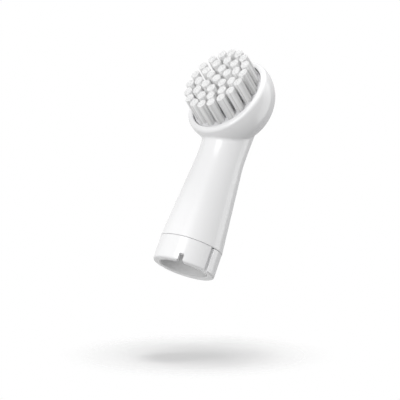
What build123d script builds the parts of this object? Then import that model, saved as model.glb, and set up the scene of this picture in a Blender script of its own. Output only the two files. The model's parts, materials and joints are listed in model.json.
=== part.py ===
# Facial cleansing brush head: a round cup of nylon tufts on a hollow neck that pushes onto an electric handle.
# The spindle of the handle swings the drive shaft to and fro, and its finger swings the brush disc in the cup.
# Millimetres. Z runs up the neck from the mouth, the origin is the middle of the mouth, the brush faces -Y.
import os
from math import asin, atan2, cos, degrees, pi, radians, sin

from build123d import *

os.makedirs("parts", exist_ok=True)

# Fits
seat_clearance = 0.02
running_clearance = 0.03
axial_play = 0.15

# Collar at the mouth
collar_inset = 0.05
collar_back_inset = 0.05
collar_height = 7.0
collar_edge_round = 0.6
socket_radius = 6.8
socket_depth = 9.0
socket_edge_chamfer = 0.3
groove_edge = -0.75
groove_width = 1.45
groove_depth = 0.8
notch_width = 1.4
notch_height = 2.3
notch_round = 0.35
notch_flare = 0.4
notch_angle = 36.5

# Spigot of the collar and the bearing tube on its web
spigot_radius = 7.6
spigot_length = 6.0
spigot_wall = 1.1
web_thickness = 1.6
spindle_hole_radius = 1.9
lower_tube_wall = 1.1
lower_tube_length = 6.0

# Neck
seam_gap = 0.12
neck_edge_chamfer = 0.12
neck_base_radius = 9.05
neck_cone_radius = 6.85
neck_cone_height = 31.6
neck_waist_radius = 6.75
neck_waist_height = 36.0
neck_top_inset = 1.1
neck_flare = 0.08
neck_wall = 1.5
bulkhead_thickness = 3.0

# Cup
cup_radius = 13.2
cup_side_offset = 2.8
cup_arc_step = 3.4
cup_belly_drop = 0.8
cup_forward = 4.6
cup_height = 50.3
cup_blend = 1.0
cup_wall = 1.4
face_tilt = 74.0
rim_rise = 1.3
rim_width = 1.64
rim_round = 1.0
rim_inner_chamfer = 0.2
pocket_step = 1.2
boss_radius = 3.3
cavity_drop = 4.3

# Brush disc and its journal
disc_thickness = 3.0
disc_setback = 0.45
disc_edge_gap = 0.2
disc_under_gap = 0.4
disc_edge_chamfer = 0.2
journal_radius = 1.6
barb_reach = 0.35
barb_length = 0.7
snap_slot_width = 0.8
snap_slot_length = 3.4
disc_bush_wall = 0.95
disc_bush_length = 4.6
barb_room = 0.35
washer_thickness = 0.8
washer_radius = 3.1

# Tufts: one in the middle and rings around it, from the outer ring inwards
ring_angles = [-6.9, -6.8, -24.6]
ring_pitches = [3.3, 3.6, 3.6]
ring_wall = 0.25
tuft_edge_wall = 0.3
tuft_radius = 1.35
tuft_sides = 8
tuft_length = 6.9
tuft_lean = 10.0
tuft_root = 2.0
anchor_thickness = 0.3
anchor_height = 1.0
anchor_end_gap = 0.2

# Drive train
shaft_radius = 1.5
shaft_chamfer = 0.2
shaft_bush_wall = 1.0
bush_flange = 0.7
bush_flange_thickness = 0.6
drive_socket_radius = 2.5
drive_socket_length = 10.0
drive_socket_bore = 1.6
spindle_depth = 4.8
socket_floor = 0.6
key_width = 0.8
key_depth = 0.5
thrust_flange = 0.7
flange_thickness = 1.0
lower_bush_wall = 0.8
clip_groove_depth = 0.3
clip_thickness = 0.5
clip_reach = 1.1
clip_opening = 1.6
finger_offset = 2.6
finger_ball_radius = 1.0
finger_ball_drop = 5.9
finger_stem_length = 2.2
finger_stem_radius = 0.65
finger_arm_thickness = 1.6
finger_hub_radius = 2.5
finger_hub_length = 5.45
fork_slot_clearance = 0.06
fork_prong_thickness = 1.2
fork_prong_length = 2.1

# Frames: the axis of the disc rises from the neck's front, and its plane's Y runs up the face
face_normal = Vector(0, -sin(radians(face_tilt)), cos(radians(face_tilt)))
face_up = Vector(0, cos(radians(face_tilt)), sin(radians(face_tilt)))
cup_centre = Vector(0, -cup_forward, cup_height)
rim_centre = cup_centre + face_normal * rim_rise
face_centre = rim_centre - face_normal * disc_setback
face_plane = Plane(origin=face_centre, x_dir=(1, 0, 0), z_dir=face_normal)
disc_axis = Axis(face_centre, face_normal)
tuft_direction = face_normal * cos(radians(tuft_lean)) + face_up * sin(radians(tuft_lean))
# Half profiles of what turns about the disc's axis: X outwards, Y along the axis
disc_profile_plane = Plane(origin=face_centre, x_dir=(1, 0, 0), z_dir=-face_up)
cup_profile_plane = Plane(origin=cup_centre, x_dir=(1, 0, 0), z_dir=-face_up)

# Radii, heights and depths that follow from the sizes
collar_radius = neck_base_radius - collar_inset
collar_back_radius = collar_radius - collar_back_inset
neck_base_height = collar_height + seam_gap
neck_top_radius = cup_radius - cup_forward - neck_top_inset
cavity_top = cup_height - cavity_drop
spigot_top = collar_height + spigot_length
web_top = socket_depth + web_thickness
lower_tube_top = web_top + lower_tube_length
lower_seat_radius = drive_socket_radius + running_clearance + lower_bush_wall + seat_clearance
# The cup's outline is a back arc that runs into a side arc, which is widest a little below the cup's middle
cup_side_radius = cup_radius - cup_side_offset
cup_back_radius = cup_side_radius + cup_arc_step
back_rise = (cup_arc_step**2 - cup_side_offset**2) ** 0.5
back_centre = back_rise - cup_belly_drop
back_angle = degrees(atan2(back_rise, cup_side_offset))
rim_angle = degrees(asin((rim_rise + cup_belly_drop) / cup_side_radius))
rim_radius = cup_side_offset + cup_side_radius * cos(radians(rim_angle))
# Depths below are counted from the face of the disc
pocket_radius = rim_radius - rim_width
disc_radius = pocket_radius - disc_edge_gap
pocket_floor = -disc_thickness - disc_under_gap
boss_top = -disc_thickness - axial_play - washer_thickness
bush_foot = boss_top - disc_bush_length
barb_top = bush_foot - axial_play
journal_foot = barb_top - barb_length
boss_floor = journal_foot - barb_room
disc_bush_bore = journal_radius + running_clearance
disc_bush_radius = disc_bush_bore + disc_bush_wall
neck_slope = (neck_base_radius - neck_cone_radius) / (neck_cone_height - neck_base_height)
shaft_bush_bore = shaft_radius + running_clearance
shaft_bush_radius = shaft_bush_bore + shaft_bush_wall
finger_ball_height = cup_height - finger_ball_drop
shaft_top_height = finger_ball_height - finger_stem_length
hub_foot = shaft_top_height - finger_hub_length
bulkhead_top = hub_foot - axial_play - bush_flange_thickness
bulkhead_height = bulkhead_top - bulkhead_thickness

# Head shell: cup and neck in one hollow moulding, with a bulkhead in the neck and a boss in the cup
cavity_foot_radius = neck_base_radius - neck_slope * (spigot_top - neck_base_height) - neck_wall
cavity_top_radius = neck_waist_radius - neck_wall
hollow_radius = pocket_radius - pocket_step
hollow_floor_offset = boss_floor + rim_rise - disc_setback
hollow_floor_radius = ((cup_back_radius - cup_wall) ** 2 - (back_centre - hollow_floor_offset) ** 2) ** 0.5

with BuildPart() as head_shell:
    with BuildSketch(Plane.XZ) as neck_profile:
        with BuildLine():
            Line((0, neck_base_height), (neck_base_radius, neck_base_height))
            Line((neck_base_radius, neck_base_height), (neck_cone_radius, neck_cone_height))
            Spline(
                (neck_cone_radius, neck_cone_height),
                (neck_waist_radius, neck_waist_height),
                (neck_top_radius, cup_height),
                tangents=[(-neck_slope, 1), (neck_flare, 1)],
            )
            Line((neck_top_radius, cup_height), (0, cup_height))
            Line((0, cup_height), (0, neck_base_height))
        make_face()
        chamfer(neck_profile.vertices().group_by(Axis.Y)[0].sort_by(Axis.X)[-1], length=neck_edge_chamfer)
    revolve(axis=Axis.Z)
    split(bisect_by=Plane(origin=cup_centre, z_dir=face_normal), keep=Keep.BOTTOM)
    with BuildSketch(cup_profile_plane) as cup_profile:
        with BuildLine():
            CenterArc((0, back_centre), cup_back_radius, -90, 90 - back_angle)
            CenterArc((cup_side_offset, -cup_belly_drop), cup_side_radius, -back_angle, back_angle + rim_angle)
            Line((rim_radius, rim_rise), (0, rim_rise))
            Line((0, rim_rise), (0, back_centre - cup_back_radius))
        make_face()
        fillet(cup_profile.vertices().group_by(Axis.Y)[-1].sort_by(Axis.X)[-1], radius=rim_round)
    revolve(axis=disc_axis)
    fillet(head_shell.edges(Select.NEW), radius=cup_blend)
    # Hollow of the neck, with the seat of the collar's spigot
    with BuildSketch(Plane.XZ):
        with BuildLine():
            Polyline(
                (0, 0),
                (spigot_radius + seat_clearance, 0),
                (spigot_radius + seat_clearance, spigot_top + seat_clearance),
                (cavity_foot_radius, spigot_top + seat_clearance),
                (cavity_top_radius, neck_waist_height),
                (cavity_top_radius, cavity_top),
                (0, cavity_top),
                close=True,
            )
        make_face()
    revolve(axis=Axis.Z, mode=Mode.SUBTRACT)
    # Pocket of the disc and the hollow behind it
    with BuildSketch(disc_profile_plane):
        with BuildLine():
            Polyline(
                (0, cup_radius),
                (pocket_radius, cup_radius),
                (pocket_radius, pocket_floor),
                (hollow_radius, pocket_floor),
                (hollow_floor_radius, boss_floor),
                (0, boss_floor),
                close=True,
            )
        make_face()
    revolve(axis=disc_axis, mode=Mode.SUBTRACT)
    rim_edges = head_shell.faces().sort_by(disc_axis)[-1].edges().sort_by(SortBy.RADIUS)
    chamfer(rim_edges[0], length=rim_inner_chamfer)
    # Boss for the journal's bush
    with BuildSketch(face_plane.offset(boss_floor - seat_clearance)):
        Circle(boss_radius)
    extrude(amount=boss_top - boss_floor + seat_clearance)
    with BuildSketch(face_plane.offset(boss_top)):
        Circle(disc_bush_radius + seat_clearance)
    extrude(amount=boss_floor - boss_top, mode=Mode.SUBTRACT)
    # Bulkhead for the shaft's upper bush
    with BuildSketch(Plane.XY.offset(bulkhead_height)):
        Circle(cavity_top_radius + neck_wall / 2)
        Circle(shaft_bush_radius + seat_clearance, mode=Mode.SUBTRACT)
    extrude(amount=bulkhead_thickness)
head_shell.part.label = "head_shell"
export_step(head_shell.part, "parts/head_shell.step")

# Coupling collar: plugs into the neck, holds the handle's spigot and carries the lower bush on its web
lower_tube_radius = lower_seat_radius + lower_tube_wall
notch_out = Vector(sin(radians(notch_angle)), -cos(radians(notch_angle)), 0)
notch_side = Vector(cos(radians(notch_angle)), sin(radians(notch_angle)), 0)

with BuildPart() as coupling_collar:
    with BuildSketch(Plane.XZ) as collar_profile:
        with BuildLine():
            Polyline(
                (socket_radius, 0),
                (collar_radius, 0),
                (collar_radius, collar_height),
                (spigot_radius, collar_height),
                (spigot_radius, spigot_top),
                (spigot_radius - spigot_wall, spigot_top),
                (spigot_radius - spigot_wall, web_top),
                (lower_tube_radius, web_top),
                (lower_tube_radius, lower_tube_top),
                (lower_seat_radius, lower_tube_top),
                (lower_seat_radius, web_top),
                (spindle_hole_radius, web_top),
                (spindle_hole_radius, socket_depth),
                (socket_radius, socket_depth),
                close=True,
            )
        make_face()
        mouth_corners = collar_profile.vertices().group_by(Axis.Y)[0].sort_by(Axis.X)
        chamfer(mouth_corners[0], length=socket_edge_chamfer)
        fillet(mouth_corners[-1], radius=collar_edge_round)
    revolve(axis=Axis.Z)
    # The back half stands in a little, and a groove runs down each side where it meets the front half
    with BuildSketch():
        Circle(2 * collar_radius)
        Circle(collar_back_radius, mode=Mode.SUBTRACT)
        with Locations((0, groove_edge)):
            back_half = (4 * collar_radius, 2 * collar_radius)
            Rectangle(*back_half, align=(Align.CENTER, Align.MIN), mode=Mode.INTERSECT)
    extrude(amount=collar_height, mode=Mode.SUBTRACT)
    with BuildSketch():
        with BuildLine():
            Polyline(
                (collar_radius - groove_depth, groove_edge),
                (collar_radius - groove_depth, groove_edge + groove_width),
                (2 * collar_radius, groove_edge + groove_width),
                (2 * collar_radius, groove_edge),
                close=True,
            )
        make_face()
        mirror(about=Plane.YZ)
    extrude(amount=collar_height, mode=Mode.SUBTRACT)
    # Notch in the edge of the mouth
    with BuildSketch(Plane(origin=(0, 0, 0), x_dir=notch_side, z_dir=notch_out)) as notch:
        with BuildLine():
            Polyline(
                (-notch_width / 2 - notch_flare, 0),
                (notch_width / 2 + notch_flare, 0),
                (notch_width / 2, notch_flare),
                (notch_width / 2, notch_height),
                (-notch_width / 2, notch_height),
                (-notch_width / 2, notch_flare),
                close=True,
            )
        make_face()
        fillet(notch.vertices().group_by(Axis.Y)[-1], radius=notch_round)
    extrude(amount=2 * collar_radius, mode=Mode.SUBTRACT)
coupling_collar.part.label = "coupling_collar"
export_step(coupling_collar.part, "parts/coupling_collar.step")

# Lower bush: sleeve in the collar's bearing tube
with BuildPart() as lower_bush:
    with BuildSketch(Plane.XY.offset(web_top)):
        Circle(lower_seat_radius - seat_clearance)
        Circle(drive_socket_radius + running_clearance, mode=Mode.SUBTRACT)
    extrude(amount=lower_tube_length)
lower_bush.part.label = "lower_bush"
export_step(lower_bush.part, "parts/lower_bush.step")

# Drive socket: turns in the lower bush and takes the keyed spindle of the handle
socket_foot = web_top + axial_play
flange_foot = lower_tube_top + axial_play
shaft_foot = socket_foot + spindle_depth + socket_floor

with BuildPart() as drive_socket:
    with BuildSketch(Plane.XY.offset(socket_foot)):
        Circle(drive_socket_radius)
    extrude(amount=drive_socket_length)
    with BuildSketch(Plane.XY.offset(flange_foot)):
        Circle(drive_socket_radius + thrust_flange)
    extrude(amount=flange_thickness)
    with BuildSketch(Plane.XY.offset(socket_foot)):
        Circle(drive_socket_bore)
        Rectangle(2 * (drive_socket_bore + key_depth), key_width)
    extrude(amount=spindle_depth, mode=Mode.SUBTRACT)
    with BuildSketch(Plane.XY.offset(shaft_foot)):
        Circle(shaft_radius + seat_clearance)
    extrude(amount=drive_socket_length, mode=Mode.SUBTRACT)
drive_socket.part.label = "drive_socket"
export_step(drive_socket.part, "parts/drive_socket.step")

# Drive shaft: steel, with a groove for its clip under the upper bush
clip_foot = bulkhead_height - axial_play - clip_thickness

with BuildPart() as drive_shaft:
    with BuildSketch(Plane.XY.offset(shaft_foot)):
        Circle(shaft_radius)
    extrude(amount=shaft_top_height - shaft_foot)
    chamfer(drive_shaft.edges().group_by(Axis.Z)[0], length=shaft_chamfer)
    with BuildSketch(Plane.XY.offset(clip_foot - seat_clearance)):
        Circle(shaft_radius)
        Circle(shaft_radius - clip_groove_depth, mode=Mode.SUBTRACT)
    extrude(amount=clip_thickness + 2 * seat_clearance, mode=Mode.SUBTRACT)
drive_shaft.part.label = "drive_shaft"
export_step(drive_shaft.part, "parts/drive_shaft.step")

# Shaft clip: open ring snapped into the groove of the shaft
with BuildPart() as shaft_clip:
    with BuildSketch(Plane.XY.offset(clip_foot)):
        Circle(shaft_radius + clip_reach)
        Circle(shaft_radius - clip_groove_depth + seat_clearance, mode=Mode.SUBTRACT)
        opening = (clip_opening, 2 * shaft_radius + clip_reach)
        Rectangle(*opening, align=(Align.CENTER, Align.MIN), mode=Mode.SUBTRACT)
    extrude(amount=clip_thickness)
shaft_clip.part.label = "shaft_clip"
export_step(shaft_clip.part, "parts/shaft_clip.step")

# Upper bush: flanged sleeve in the neck's bulkhead
with BuildPart() as upper_bush:
    with BuildSketch(Plane.XY.offset(bulkhead_height)):
        Circle(shaft_bush_radius)
    extrude(amount=bulkhead_thickness)
    with BuildSketch(Plane.XY.offset(bulkhead_top)):
        Circle(shaft_bush_radius + bush_flange)
    extrude(amount=bush_flange_thickness)
    with BuildSketch(Plane.XY.offset(bulkhead_height)):
        Circle(shaft_bush_bore)
    extrude(amount=bulkhead_thickness + bush_flange_thickness, mode=Mode.SUBTRACT)
upper_bush.part.label = "upper_bush"
export_step(upper_bush.part, "parts/upper_bush.step")

# Drive finger: crank pressed on the top of the shaft, whose ball swings the fork under the disc
ball_point = Vector(0, -finger_offset, finger_ball_height)

with BuildPart() as drive_finger:
    with BuildSketch(Plane.XY.offset(hub_foot)):
        Circle(finger_hub_radius)
    extrude(amount=shaft_top_height - hub_foot)
    with BuildSketch(Plane.XY.offset(shaft_top_height - finger_arm_thickness)):
        Circle(finger_hub_radius)
        with Locations((0, -finger_offset)):
            Circle(finger_ball_radius)
        make_hull()
    extrude(amount=finger_arm_thickness)
    with BuildSketch(Plane.XY.offset(hub_foot)):
        Circle(shaft_radius + seat_clearance)
    extrude(amount=shaft_top_height - hub_foot, mode=Mode.SUBTRACT)
    with BuildSketch(Plane.XY.offset(shaft_top_height - finger_arm_thickness)):
        with Locations((0, -finger_offset)):
            Circle(finger_stem_radius)
    extrude(amount=finger_ball_height - shaft_top_height + finger_arm_thickness)
    with Locations(ball_point):
        Sphere(finger_ball_radius)
drive_finger.part.label = "drive_finger"
export_step(drive_finger.part, "parts/drive_finger.step")

# Disc bush: sleeve in the boss of the cup
with BuildPart() as disc_bush:
    with BuildSketch(face_plane.offset(bush_foot)):
        Circle(disc_bush_radius)
        Circle(disc_bush_bore, mode=Mode.SUBTRACT)
    extrude(amount=disc_bush_length)
disc_bush.part.label = "disc_bush"
export_step(disc_bush.part, "parts/disc_bush.step")

# Thrust washer: lies on the boss and carries the disc
with BuildPart() as thrust_washer:
    with BuildSketch(face_plane.offset(boss_top)):
        Circle(washer_radius)
        Circle(disc_bush_bore, mode=Mode.SUBTRACT)
    extrude(amount=washer_thickness)
thrust_washer.part.label = "thrust_washer"
export_step(thrust_washer.part, "parts/thrust_washer.step")

# Brush disc: tuft carrier with blind holes, a fork for the finger and a split journal snapped through the bush
ball_from_face = ball_point - face_centre
fork_up = ball_from_face.dot(face_up)
fork_foot = ball_from_face.dot(face_normal) - finger_ball_radius
fork_slot = finger_ball_radius + fork_slot_clearance
outer_ring_radius = disc_radius - tuft_edge_wall - tuft_radius
ring_step = 2 * tuft_radius + ring_wall
# A ring is set where it has room outside the middle tuft
tuft_places = [(0, 0)]
for ring, (first_angle, pitch) in enumerate(zip(ring_angles, ring_pitches)):
    ring_radius = outer_ring_radius - ring_step * ring
    count = int(2 * pi * ring_radius / pitch) if ring_radius > ring_step else 0
    for index in range(count):
        angle = radians(first_angle + 360 * index / count)
        tuft_places.append((ring_radius * cos(angle), ring_radius * sin(angle)))

with BuildPart() as brush_disc:
    with BuildSketch(disc_profile_plane) as disc_profile:
        with BuildLine():
            Polyline(
                (0, 0),
                (disc_radius, 0),
                (disc_radius, -disc_thickness),
                (journal_radius, -disc_thickness),
                (journal_radius, barb_top),
                (journal_radius + barb_reach, barb_top),
                (journal_radius - barb_reach, journal_foot),
                (0, journal_foot),
                close=True,
            )
        make_face()
        chamfer(disc_profile.vertices().group_by(Axis.X)[-1].sort_by(Axis.Y)[-1], length=disc_edge_chamfer)
    revolve(axis=disc_axis)
    with BuildSketch(face_plane):
        with Locations(*tuft_places):
            RegularPolygon(tuft_radius + seat_clearance, tuft_sides)
    extrude(amount=-tuft_root, mode=Mode.SUBTRACT)
    with BuildSketch(face_plane.offset(-disc_thickness)):
        for side in (-1, 1):
            with Locations((side * (fork_slot + fork_prong_thickness / 2), fork_up)):
                Rectangle(fork_prong_thickness, fork_prong_length)
    extrude(amount=fork_foot + disc_thickness)
    with BuildSketch(face_plane.offset(journal_foot)):
        Rectangle(snap_slot_width, 4 * journal_radius)
    extrude(amount=snap_slot_length, mode=Mode.SUBTRACT)
brush_disc.part.label = "brush_disc"
export_step(brush_disc.part, "parts/brush_disc.step")

# Tufts: each a folded bundle of nylon filaments, upright in its hole, leaning above it and trimmed level
for number, tuft_place in enumerate(tuft_places, start=1):
    with BuildPart() as tuft:
        with BuildSketch(face_plane.offset(-tuft_root)):
            with Locations(tuft_place):
                RegularPolygon(tuft_radius, tuft_sides)
        extrude(amount=tuft_root)
        with BuildSketch(face_plane):
            with Locations(tuft_place):
                RegularPolygon(tuft_radius, tuft_sides)
        extrude(amount=tuft_length, dir=tuft_direction)
        with BuildSketch(face_plane.offset(-tuft_root)):
            with Locations(tuft_place):
                Rectangle(4 * tuft_radius, anchor_thickness + 2 * seat_clearance)
        extrude(amount=anchor_height + seat_clearance, mode=Mode.SUBTRACT)
    tuft.part.label = f"tuft_{number:02d}"
    export_step(tuft.part, f"parts/tuft_{number:02d}.step")

# Tuft anchors: a small metal strip across the foot of each hole, in the fold of its tuft
with BuildPart() as tuft_anchors:
    with BuildSketch(face_plane.offset(-tuft_root)):
        with Locations(*tuft_places):
            Rectangle(2 * tuft_radius - anchor_end_gap, anchor_thickness)
    extrude(amount=anchor_height)
tuft_anchors.part.label = "tuft_anchors"
export_step(tuft_anchors.part, "parts/tuft_anchors.step")
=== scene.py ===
# Facial cleansing brush head: glossy white mouldings, nylon tufts of single filaments, and the bearings and
# shaft that hide in the neck. Everything is in metres, in the frame of the part.
import json
from math import cos, pi, radians, sin, tan
from random import Random

import bpy
from mathutils import Matrix, Vector


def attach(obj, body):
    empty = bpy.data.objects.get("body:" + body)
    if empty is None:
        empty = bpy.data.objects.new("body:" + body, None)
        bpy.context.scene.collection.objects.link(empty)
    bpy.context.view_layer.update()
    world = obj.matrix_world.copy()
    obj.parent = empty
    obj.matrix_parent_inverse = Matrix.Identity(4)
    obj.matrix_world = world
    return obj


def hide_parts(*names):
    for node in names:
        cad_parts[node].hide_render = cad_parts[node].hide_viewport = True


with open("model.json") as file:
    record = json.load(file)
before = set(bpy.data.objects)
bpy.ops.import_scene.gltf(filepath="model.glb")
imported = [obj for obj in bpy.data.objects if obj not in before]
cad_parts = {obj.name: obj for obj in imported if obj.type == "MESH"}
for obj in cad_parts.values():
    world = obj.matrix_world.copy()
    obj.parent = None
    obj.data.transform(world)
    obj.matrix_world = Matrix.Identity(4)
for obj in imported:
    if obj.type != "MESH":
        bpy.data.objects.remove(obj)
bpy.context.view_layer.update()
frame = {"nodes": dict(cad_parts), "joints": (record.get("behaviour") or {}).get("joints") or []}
nodes = frame["nodes"]
bpy.ops.object.select_all(action="DESELECT")

# Head shell: the cup and the hollow neck are one moulding in white plastic, from a polished tool.
# Its gloss is even, with a faint ripple where thick and thin walls shrank by different amounts.
shell_light = (0.86, 0.86, 0.865, 1)
shell_shade = (0.83, 0.83, 0.836, 1)
shell_finish = {"roughness": 0.2, "ripple_size": 0.004, "ripple_depth": 0.00001}
plastic_ior = 1.53
cloud_scale = 70
gloss_spread = 0.15
ripple_strength = 0.5


def new_finish(name):
    """A new material, and the shader that its other nodes feed."""
    material = bpy.data.materials.new(name)
    material.use_nodes = True
    return material, material.node_tree.nodes["Principled BSDF"]


def colour_mix(tree, share, first, second):
    """Goes from the first colour to the second with the share. Each is a colour or the output of a node."""
    mix = tree.nodes.new("ShaderNodeMix")
    mix.data_type = "RGBA"
    tree.links.new(share, mix.inputs["Factor"])
    for end, colour in (("A", first), ("B", second)):
        if isinstance(colour, tuple):
            mix.inputs[end].default_value = colour
        else:
            tree.links.new(colour, mix.inputs[end])
    return mix.outputs["Result"]


def moulded_plastic(name, light, shade, roughness, ripple_size, ripple_depth):
    """Plastic as it leaves the tool: two close tones in soft clouds, uneven gloss and a fine ripple."""
    material, shader = new_finish(name)
    tree = material.node_tree
    shader.inputs["IOR"].default_value = plastic_ior
    place = tree.nodes.new("ShaderNodeTexCoord")
    cloud = tree.nodes.new("ShaderNodeTexNoise")
    cloud.inputs["Scale"].default_value = cloud_scale
    gloss = tree.nodes.new("ShaderNodeMapRange")
    gloss.inputs["To Min"].default_value = roughness * (1 - gloss_spread)
    gloss.inputs["To Max"].default_value = roughness * (1 + gloss_spread)
    ripple = tree.nodes.new("ShaderNodeTexNoise")
    ripple.inputs["Scale"].default_value = 1 / ripple_size
    bump = tree.nodes.new("ShaderNodeBump")
    bump.inputs["Distance"].default_value = ripple_depth
    bump.inputs["Strength"].default_value = ripple_strength
    tree.links.new(place.outputs["Object"], cloud.inputs["Vector"])
    tree.links.new(place.outputs["Object"], ripple.inputs["Vector"])
    tree.links.new(colour_mix(tree, cloud.outputs["Fac"], shade, light), shader.inputs["Base Color"])
    tree.links.new(cloud.outputs["Fac"], gloss.inputs["Value"])
    tree.links.new(gloss.outputs["Result"], shader.inputs["Roughness"])
    tree.links.new(ripple.outputs["Fac"], bump.inputs["Height"])
    tree.links.new(bump.outputs["Normal"], shader.inputs["Normal"])
    return material


def coat(material, *names):
    """Gives the CAD pieces of these names one finish."""
    for name in names:
        nodes[name].data.materials.clear()
        nodes[name].data.materials.append(material)


shell_white = moulded_plastic("shell_gloss_white", shell_light, shell_shade, **shell_finish)
coat(shell_white, "head_shell")

# Coupling collar: a second moulding in the same white, plugged into the foot of the neck up to the seam.
# Its mouth takes the handle. Its bore is painted: greyer at the mouth as painted shade, and paler further in
# as painted light that stands in for light coming through the wall.
bore_radius = 0.00685
bore_painted_light_depth = 0.0034
bore_painted_shade = (0.77, 0.77, 0.775, 1)
bore_painted_light = (0.92, 0.92, 0.92, 1)
collar_white = moulded_plastic("collar_gloss_white", shell_light, shell_shade, **shell_finish)
collar_tree = collar_white.node_tree
collar_colour = collar_tree.nodes["Principled BSDF"].inputs["Base Color"]
outside_tone = collar_colour.links[0].from_socket
bore_place = collar_tree.nodes.new("ShaderNodeTexCoord")
bore_flat = collar_tree.nodes.new("ShaderNodeVectorMath")
bore_flat.operation = "MULTIPLY"
bore_flat.inputs[1].default_value = (1, 1, 0)
bore_reach = collar_tree.nodes.new("ShaderNodeVectorMath")
bore_reach.operation = "LENGTH"
inside = collar_tree.nodes.new("ShaderNodeMath")
inside.operation = "LESS_THAN"
inside.inputs[1].default_value = bore_radius
bore_height = collar_tree.nodes.new("ShaderNodeSeparateXYZ")
bore_depth = collar_tree.nodes.new("ShaderNodeMapRange")
bore_depth.inputs["From Max"].default_value = bore_painted_light_depth
collar_tree.links.new(bore_place.outputs["Object"], bore_flat.inputs[0])
collar_tree.links.new(bore_flat.outputs["Vector"], bore_reach.inputs[0])
collar_tree.links.new(bore_reach.outputs["Value"], inside.inputs[0])
collar_tree.links.new(bore_place.outputs["Object"], bore_height.inputs["Vector"])
collar_tree.links.new(bore_height.outputs["Z"], bore_depth.inputs["Value"])
# Painted shade at the mouth of the bore, going over to painted light deeper in.
bore_painted_light_and_shade = colour_mix(collar_tree, bore_depth.outputs["Result"], bore_painted_shade, bore_painted_light)
collar_tone = colour_mix(collar_tree, inside.outputs["Value"], outside_tone, bore_painted_light_and_shade)
collar_tree.links.new(collar_tone, collar_colour)
coat(collar_white, "coupling_collar")

# Bearings, washer, keyed socket and finger: natural acetal, slippery and a little yellow, cut and moulded.
# They sit inside the neck and the cup and only show through the mouth.
acetal_light = (0.78, 0.77, 0.72, 1)
acetal_shade = (0.74, 0.73, 0.68, 1)
acetal_finish = {"roughness": 0.42, "ripple_size": 0.0006, "ripple_depth": 0.00001}
acetal = moulded_plastic("natural_acetal", acetal_light, acetal_shade, **acetal_finish)
coat(acetal, "lower_bush", "upper_bush", "disc_bush", "thrust_washer", "drive_socket", "drive_finger")

# Drive shaft and its clip: ground steel rod and a stamped ring, both bright, with fine marks round the shaft.
# They run up the middle of the neck, out of sight.
steel_grey = (0.62, 0.62, 0.63, 1)
steel_smooth = 0.2
steel_rough = 0.45
steel_mark_scale = 250
steel_mark_stretch = (1, 1, 40)
steel, steel_shader = new_finish("ground_steel")
steel_tree = steel.node_tree
steel_shader.inputs["Metallic"].default_value = 1
steel_shader.inputs["Base Color"].default_value = steel_grey
steel_place = steel_tree.nodes.new("ShaderNodeTexCoord")
steel_stretch = steel_tree.nodes.new("ShaderNodeMapping")
steel_stretch.inputs["Scale"].default_value = steel_mark_stretch
steel_marks = steel_tree.nodes.new("ShaderNodeTexNoise")
steel_marks.inputs["Scale"].default_value = steel_mark_scale
steel_gloss = steel_tree.nodes.new("ShaderNodeMapRange")
steel_gloss.inputs["To Min"].default_value = steel_smooth
steel_gloss.inputs["To Max"].default_value = steel_rough
steel_tree.links.new(steel_place.outputs["Object"], steel_stretch.inputs["Vector"])
steel_tree.links.new(steel_stretch.outputs["Vector"], steel_marks.inputs["Vector"])
steel_tree.links.new(steel_marks.outputs["Fac"], steel_gloss.inputs["Value"])
steel_tree.links.new(steel_gloss.outputs["Result"], steel_shader.inputs["Roughness"])
coat(steel, "drive_shaft", "shaft_clip")

# Brush disc: a moulded white carrier with blind holes, satin where the tufts press against it.
# It sits just inside the rim of the cup and turns to and fro on its journal.
disc_light = (0.7, 0.7, 0.71, 1)
disc_shade = (0.64, 0.64, 0.65, 1)
disc_finish = {"roughness": 0.38, "ripple_size": 0.0012, "ripple_depth": 0.00002}
disc_white = moulded_plastic("disc_satin_white", disc_light, disc_shade, **disc_finish)
coat(disc_white, "brush_disc")

# Tuft anchors: strips of drawn brass, punched into the holes through the folds of the tufts.
# Only their ends bite the plastic, and the tufts hide them.
brass_dark = (0.6, 0.45, 0.2, 1)
brass_light = (0.75, 0.6, 0.32, 1)
brass_roughness = 0.35
brass_mark_scale = 900
brass, brass_shader = new_finish("drawn_brass")
brass_tree = brass.node_tree
brass_shader.inputs["Metallic"].default_value = 1
brass_shader.inputs["Roughness"].default_value = brass_roughness
brass_place = brass_tree.nodes.new("ShaderNodeTexCoord")
brass_marks = brass_tree.nodes.new("ShaderNodeTexNoise")
brass_marks.inputs["Scale"].default_value = brass_mark_scale
brass_tree.links.new(brass_place.outputs["Object"], brass_marks.inputs["Vector"])
brass_tone = colour_mix(brass_tree, brass_marks.outputs["Fac"], brass_dark, brass_light)
brass_tree.links.new(brass_tone, brass_shader.inputs["Base Color"])
coat(brass, "tuft_anchors")

# Tufts: bundles of white nylon filaments, folded in half at the anchor and trimmed level after filling.
# They stand upright in their holes, lean up the face above it, and their ground ends are painted lighter, a
# painted highlight.
tuft_count = 36
tuft_radius = 0.00135
tuft_height = 0.0068
tuft_lean = tan(radians(10))
root_depth = 0.0018
root_level = -0.0015
filament_sides = 8
filament_radius = 0.00016
filament_rings = ((1, 0.0), (6, 0.0003), (12, 0.0006), (18, 0.00089), (24, 0.00118))
tip_round = 0.00005
tip_taper = 0.7
splay = 0.002
angle_jitter = 0.025
tilt_jitter = 0.002
length_jitter = 0.01
smooth_angle = radians(50)
nylon_dark = (0.62, 0.62, 0.62, 1)
nylon_light = (0.95, 0.95, 0.95, 1)
nylon_roughness = 0.4
side_spread = 0.65
tip_painted_light_least = 0.35
tip_painted_light_spread = 0.45
swing = next(joint for joint in frame["joints"] if joint["name"] == "brush_swing")
face_normal = Vector(swing["axis"])
face_up = face_normal.cross(Vector((1, 0, 0)))
face_turn = Matrix((Vector((1, 0, 0)), face_up, face_normal)).transposed().to_4x4()
face_frame = Matrix.Translation(Vector(swing["pos_m"])) @ face_turn
chance = Random(36)

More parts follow.
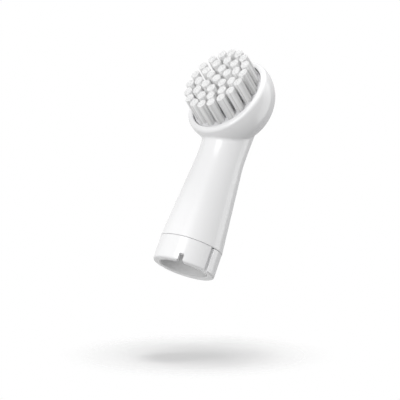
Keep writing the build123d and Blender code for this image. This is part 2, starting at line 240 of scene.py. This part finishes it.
nylon, nylon_shader = new_finish("white_nylon")
nylon_tree = nylon.node_tree
nylon_shader.inputs["Roughness"].default_value = nylon_roughness
nylon_tone_and_tip_light = nylon_tree.nodes.new("ShaderNodeAttribute")
nylon_tone_and_tip_light.attribute_name = "tone_and_tip_light"
nylon_colour = colour_mix(nylon_tree, nylon_tone_and_tip_light.outputs["Fac"], nylon_dark, nylon_light)
nylon_tree.links.new(nylon_colour, nylon_shader.inputs["Base Color"])

# One filament, from its root in the hole past the face to a tip with a rounded edge
bpy.ops.mesh.primitive_circle_add(vertices=filament_sides, radius=filament_radius, fill_type="NGON")
filament = bpy.context.object
bpy.ops.object.mode_set(mode="EDIT")
bpy.ops.mesh.select_all(action="SELECT")
bpy.ops.transform.translate(value=(0, 0, -root_depth))
bpy.ops.mesh.extrude_region_move(TRANSFORM_OT_translate={"value": (0, 0, root_depth)})
bpy.ops.mesh.extrude_region_move(TRANSFORM_OT_translate={"value": (0, 0, tuft_height - tip_round)})
bpy.ops.mesh.extrude_region_move(TRANSFORM_OT_translate={"value": (0, 0, tip_round)})
bpy.ops.transform.resize(value=(tip_taper, tip_taper, 1))
bpy.ops.mesh.select_all(action="SELECT")
bpy.ops.mesh.normals_make_consistent(inside=False)
bpy.ops.object.mode_set(mode="OBJECT")
filament.data.materials.append(nylon)

# One tuft, with its filaments in rings, each a little off its place and in its own tone, with a painted
# highlight on its tip
bundle = []
for count, ring in filament_rings:
    for index in range(count):
        angle = 2 * pi * index / count + chance.uniform(-angle_jitter, angle_jitter)
        spot = Vector((ring * cos(angle), ring * sin(angle), 0))
        strand = filament.copy()
        strand.data = filament.data.copy()
        bpy.context.collection.objects.link(strand)
        length = 1 + chance.uniform(-length_jitter, 0.0)
        reach = Matrix.Identity(4)
        reach[0][2] = spot.x / tuft_radius * splay + chance.uniform(-tilt_jitter, tilt_jitter)
        reach[1][2] = spot.y / tuft_radius * splay + chance.uniform(-tilt_jitter, tilt_jitter)
        reach[2][2] = length
        strand.data.transform(Matrix.Translation(spot) @ reach)
        tone_and_tip_light = strand.data.attributes.new("tone_and_tip_light", "FLOAT", "POINT")
        shade = chance.random()
        for vertex, value in zip(strand.data.vertices, tone_and_tip_light.data):
            # Each filament's tip gets a painted highlight: a lighter tone than its side.
            at_tip = vertex.co.z > length * (tuft_height - tip_round / 2)
            value.value = tip_painted_light_least + tip_painted_light_spread * shade if at_tip else side_spread * shade
        bundle.append(strand)
bpy.ops.object.select_all(action="DESELECT")
for strand in bundle:
    strand.select_set(True)
bpy.context.view_layer.objects.active = bundle[0]
bpy.ops.object.join()
bpy.ops.object.shade_smooth_by_angle(angle=smooth_angle)
tuft = bpy.context.object
bpy.data.objects.remove(filament)

# A copy of it for each tuft of the part, turned by chance, leaned and set in its hole
for number in range(1, tuft_count + 1):
    node = f"tuft_{number:02d}"
    corners = [face_frame.inverted() @ vertex.co for vertex in nodes[node].data.vertices]
    roots = [corner for corner in corners if corner.z < root_level]
    middle = sum(roots, Vector()) / len(roots)
    brush = tuft.copy()
    brush.data = tuft.data.copy()
    brush.name = node + "_filaments"
    bpy.context.collection.objects.link(brush)
    brush.data.transform(Matrix.Rotation(chance.uniform(0, 2 * pi), 4, "Z"))
    for vertex in brush.data.vertices:
        vertex.co.y += tuft_lean * max(vertex.co.z, 0)
    brush.data.transform(face_frame @ Matrix.Translation((middle.x, middle.y, 0)))
    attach(brush, "brush")
    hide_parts(node)
bpy.data.objects.remove(tuft)

# Camera: a long lens from below the brush's side, rolled so that the head leans as it does when held.
# The picture is 400 pixels wide, and a pixel is 0.28 mm at the middle of the mouth, the frame's origin.
picture_size = 400
pixel = 0.00028
mouth_in_picture = (183.3, 269.1)
lens_distance = 0.933
sensor_width = 36
far_clip = 5
view_round = 47.9
view_below = 13.6
view_roll = 18.8
round_turn = Matrix.Rotation(radians(view_round), 3, "Z")
below_turn = Matrix.Rotation(radians(90 + view_below), 3, "X")
view_turn = round_turn @ below_turn @ Matrix.Rotation(radians(view_roll), 3, "Z")


def from_lens(across, down):
    """The way from the lens to a pixel of the picture, at the distance of the mouth."""
    middle = picture_size / 2
    return view_turn @ Vector(((across - middle) * pixel, (middle - down) * pixel, -lens_distance))


bpy.ops.object.camera_add(location=-from_lens(*mouth_in_picture), rotation=view_turn.to_euler())
camera = bpy.context.object
camera.data.sensor_width = sensor_width
camera.data.lens = sensor_width * lens_distance / (picture_size * pixel)
camera.data.clip_end = far_clip
bpy.context.scene.camera = camera

# World: a white room. What is seen directly or mirrored is white, and its light on the head is lower,
# more from above than from below.
room_white = (1, 1, 1, 1)
light_from_below = 0.26
light_from_above = 0.6


def seen_or_mirrored(tree):
    """One for rays from the lens, and for those that gloss or glass sends on, and nought for the rest."""
    path = tree.nodes.new("ShaderNodeLightPath")
    mirrored = tree.nodes.new("ShaderNodeMath")
    mirrored.operation = "MAXIMUM"
    seen = tree.nodes.new("ShaderNodeMath")
    seen.operation = "MAXIMUM"
    tree.links.new(path.outputs["Is Glossy Ray"], mirrored.inputs[0])
    tree.links.new(path.outputs["Is Transmission Ray"], mirrored.inputs[1])
    tree.links.new(path.outputs["Is Camera Ray"], seen.inputs[0])
    tree.links.new(mirrored.outputs["Value"], seen.inputs[1])
    return seen.outputs["Value"]


world = bpy.data.worlds.new("white_room")
bpy.context.scene.world = world
world.use_nodes = True
world_tree = world.node_tree
background = world_tree.nodes["Background"]
background.inputs["Color"].default_value = room_white
level = world_tree.nodes.new("ShaderNodeMapRange")
room_place = world_tree.nodes.new("ShaderNodeTexCoord")
room_up = world_tree.nodes.new("ShaderNodeVectorMath")
room_up.operation = "DOT_PRODUCT"
room_up.inputs[1].default_value = view_turn @ Vector((0, 1, 0))
room_level = world_tree.nodes.new("ShaderNodeMapRange")
room_level.inputs["From Min"].default_value = -1
room_level.inputs["To Min"].default_value = light_from_below
room_level.inputs["To Max"].default_value = light_from_above
world_tree.links.new(room_place.outputs["Generated"], room_up.inputs[0])
world_tree.links.new(room_up.outputs["Value"], room_level.inputs["Value"])
world_tree.links.new(room_level.outputs["Result"], level.inputs["To Min"])
world_tree.links.new(seen_or_mirrored(world_tree), level.inputs["Value"])
world_tree.links.new(level.outputs["Result"], background.inputs["Strength"])

# Floor: a round pale board under the floating head, square to the picture and tipped a little to the lens.
# It takes the shadow, glows a little where it is seen or mirrored, and fades into the white room. Being a
# little darker than the room, its fade paints a soft grey halo round the shadow, a painted shadow.
shadow_in_picture = (196, 355)
floor_radius = 0.04
floor_sides = 96
floor_tip = radians(7)
floor_grey = (0.35, 0.35, 0.35, 1)
floor_pale = (0.64, 0.64, 0.64, 1)
floor_glow = 0.12
fade_share = 0.6
floor_spot = camera.location + from_lens(*shadow_in_picture)
floor_turn = view_turn @ Matrix.Rotation(-pi / 2 + floor_tip, 3, "X")
bpy.ops.mesh.primitive_circle_add(vertices=floor_sides, radius=floor_radius, fill_type="NGON")
floor = bpy.context.object
floor.name = "floor_board"
floor.matrix_world = Matrix.Translation(floor_spot) @ floor_turn.to_4x4()
floor_white, floor_shader = new_finish("floor_white")
floor_tree = floor_white.node_tree
floor_tree.nodes.remove(floor_shader)
floor_seen = seen_or_mirrored(floor_tree)
paint = floor_tree.nodes.new("ShaderNodeBsdfDiffuse")
glow = floor_tree.nodes.new("ShaderNodeEmission")
glow_level = floor_tree.nodes.new("ShaderNodeMath")
glow_level.operation = "MULTIPLY"
glow_level.inputs[1].default_value = floor_glow
both = floor_tree.nodes.new("ShaderNodeAddShader")
floor_place = floor_tree.nodes.new("ShaderNodeTexCoord")
floor_reach = floor_tree.nodes.new("ShaderNodeMapping")
floor_reach.inputs["Scale"].default_value = (1 / floor_radius, 1 / floor_radius, 1 / floor_radius)
# Painted shadow: the board's fade to clear leaves a soft grey halo round the real shadow.
painted_halo_fade = floor_tree.nodes.new("ShaderNodeTexGradient")
painted_halo_fade.gradient_type = "SPHERICAL"
fade_soft = floor_tree.nodes.new("ShaderNodeMapRange")
fade_soft.interpolation_type = "SMOOTHSTEP"
fade_soft.inputs["From Max"].default_value = fade_share
clear = floor_tree.nodes.new("ShaderNodeBsdfTransparent")
edge = floor_tree.nodes.new("ShaderNodeMixShader")
floor_tree.links.new(floor_seen, glow_level.inputs[0])
floor_tree.links.new(glow_level.outputs["Value"], glow.inputs["Strength"])
floor_tree.links.new(colour_mix(floor_tree, floor_seen, floor_grey, floor_pale), paint.inputs["Color"])
floor_tree.links.new(paint.outputs["BSDF"], both.inputs[0])
floor_tree.links.new(glow.outputs["Emission"], both.inputs[1])
floor_tree.links.new(floor_place.outputs["Object"], floor_reach.inputs["Vector"])
floor_tree.links.new(floor_reach.outputs["Vector"], painted_halo_fade.inputs["Vector"])
floor_tree.links.new(painted_halo_fade.outputs["Fac"], fade_soft.inputs["Value"])
floor_tree.links.new(fade_soft.outputs["Result"], edge.inputs["Fac"])
floor_tree.links.new(clear.outputs["BSDF"], edge.inputs[1])
floor_tree.links.new(both.outputs["Shader"], edge.inputs[2])
floor_tree.links.new(edge.outputs["Shader"], floor_tree.nodes["Material Output"].inputs["Surface"])
floor.data.materials.append(floor_white)

# Lamps: a soft one over the brush, which drops the shadow, a large one in front on the left, and a weaker one
# far round on the right, which leaves a light strip along the neck.
# Their places are across, up and towards the lens.
head_middle = Vector((0, -0.002, 0.033))
for name, place, width, height, power in (
    ("top_softbox", (0.05, 0.5, -0.08), 0.16, 0.14, 1.25),
    ("front_softbox", (-0.3, 0.16, 0.54), 0.3, 0.6, 2.75),
    ("side_softbox", (0.48, 0.0, -0.13), 0.3, 0.7, 1.05),
):
    spot = head_middle + view_turn @ Vector(place)
    aim = (spot - head_middle).to_track_quat("Z", "Y")
    bpy.ops.object.light_add(type="AREA", location=spot, rotation=aim.to_euler())
    lamp = bpy.context.object
    lamp.name = name
    lamp.data.shape = "RECTANGLE"
    lamp.data.size = width
    lamp.data.size_y = height
    lamp.data.energy = power

# Card: a matt grey card that stands behind the head, from far out on the right to the middle.
# The lens doesn't see it, but the gloss mirrors it as a grey strip along the right edge.
card_near = Vector((0.254, 0, -0.159))
card_far = Vector((0.012, 0, -0.35))
card_rise = Vector((0, 0.35, 0))
card_tone = (0.6, 0.6, 0.6, 1)
card_corners = (card_near - card_rise, card_far - card_rise, card_near + card_rise, card_far + card_rise)
bpy.ops.mesh.primitive_plane_add(size=1)
card = bpy.context.object
card.name = "grey_card"
for vertex, corner in zip(card.data.vertices, card_corners):
    vertex.co = head_middle + view_turn @ corner
card.visible_camera = False
card_grey, card_shader = new_finish("card_grey")
card_shader.inputs["Base Color"].default_value = card_tone
card_shader.inputs["Roughness"].default_value = 1
card.data.materials.append(card_grey)

# Colours are shown as they are written.
bpy.context.scene.view_settings.view_transform = "Standard"
